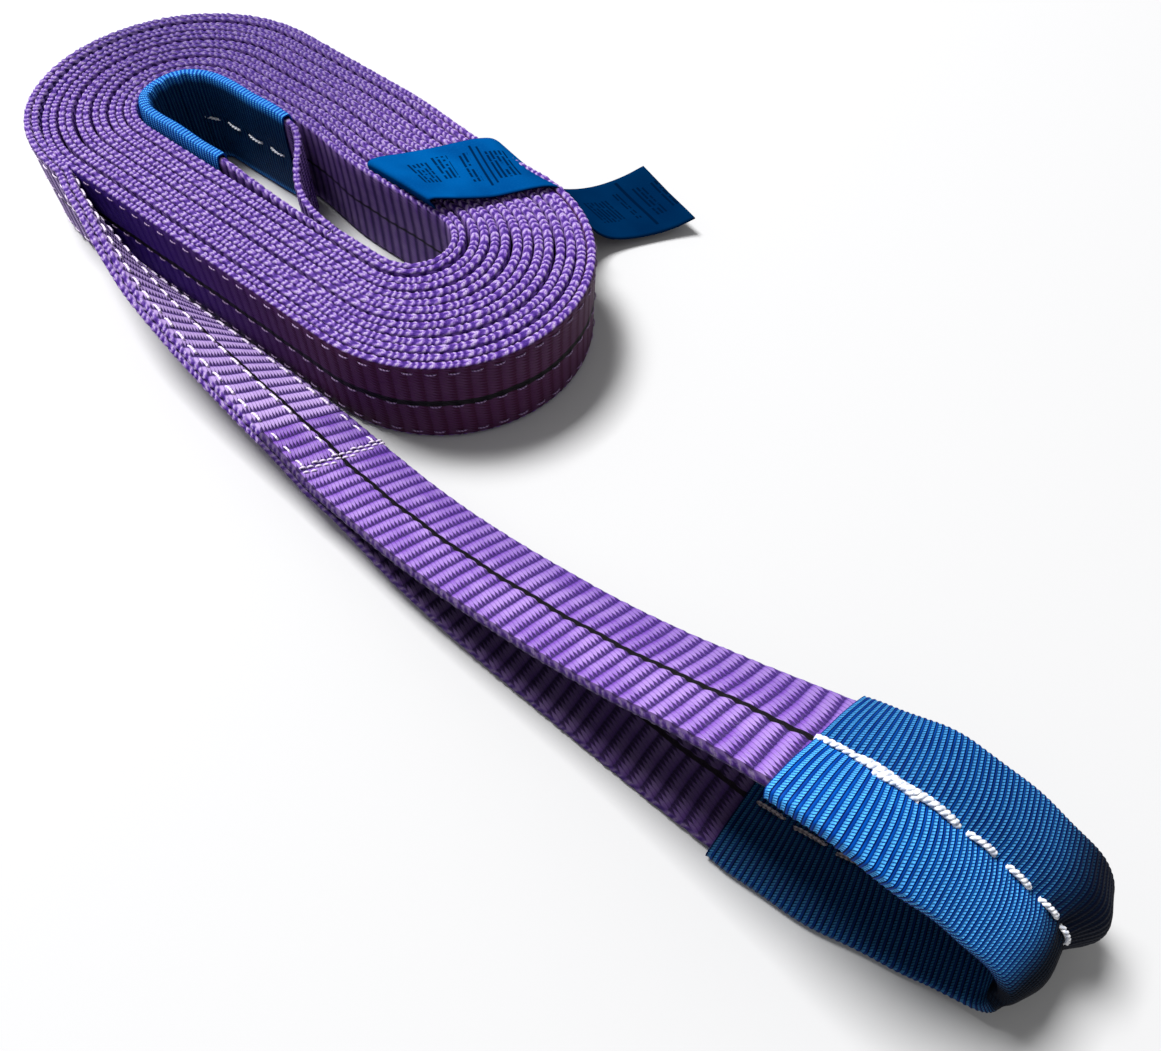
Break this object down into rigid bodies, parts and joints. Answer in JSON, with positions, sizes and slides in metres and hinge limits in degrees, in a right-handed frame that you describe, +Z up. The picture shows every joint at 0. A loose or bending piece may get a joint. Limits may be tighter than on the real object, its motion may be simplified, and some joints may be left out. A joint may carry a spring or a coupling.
{
  "type": "flat web sling",
  "caption": "Flat web lifting sling stored as an oval coil with its web on edge; an eye lies inside the coil and the free end runs out flat into a long sleeved eye.",
  "frame": {"origin": "middle of the bounding box on the ground plane, under the part", "axes": "+X along the coil's long axis, towards the tip of the outer eye; +Z up, across the width of the coiled web; +Y away from the outer eye, towards the side where the label hangs"},
  "size_m": [0.3952, 0.185, 0.0559],
  "materials": {
    "webbing": "woven polyester, matte with a slight sheen",
    "sleeve": "ribbed woven tube, matte",
    "sleeve_thread": "thick twisted thread, satin",
    "seam_thread": "sewing thread, satin",
    "label": "coated strip, semi-gloss"
  },
  "bodies": {
    "coil": {"coil_inner_ply": "webbing", "coil_outer_ply": "webbing", "label_sewn_end": "label", "coil_seam_edge_a": "seam_thread", "coil_seam_centre": "seam_thread", "coil_seam_edge_b": "seam_thread", "inner_eye_cross_seam": "seam_thread"},
    "lead": {"lead_upper_ply": "webbing", "lead_lower_ply": "webbing", "lead_seam_edge_a": "seam_thread", "lead_seam_centre": "seam_thread", "lead_seam_edge_b": "seam_thread", "outer_eye_cross_seam": "seam_thread"},
    "outer_eye": {"outer_eye_webbing": "webbing", "outer_eye_sleeve": "sleeve", "outer_eye_sleeve_thread": "sleeve_thread"},
    "inner_eye": {"inner_eye_webbing": "webbing", "inner_eye_sleeve": "sleeve", "inner_eye_sleeve_thread": "sleeve_thread"},
    "label": {"label_strip": "label"}
  },
  "joints": [
    {"name": "lead_swing", "type": "hinge", "parent": "coil", "child": "lead", "pos_m": [-0.19195, -0.02976, 0.015], "axis": [0, 0, -1], "range_deg": [0, 45]},
    {"name": "outer_eye_lift", "type": "hinge", "parent": "lead", "child": "outer_eye", "pos_m": [-0.0085, -0.07068, 0.00976], "axis": [-0.0645, -0.926, 0.372], "range_deg": [0, 70]},
    {"name": "inner_eye_lift", "type": "slide", "parent": "coil", "child": "inner_eye", "axis": [0, 0, 1], "range_m": [0, 0.02]},
    {"name": "label_flip", "type": "hinge", "parent": "coil", "child": "label", "pos_m": [-0.06057, 0.00598, 0.03045], "axis": [1, -0.0085, 0], "range_deg": [0, 90]}
  ]
}
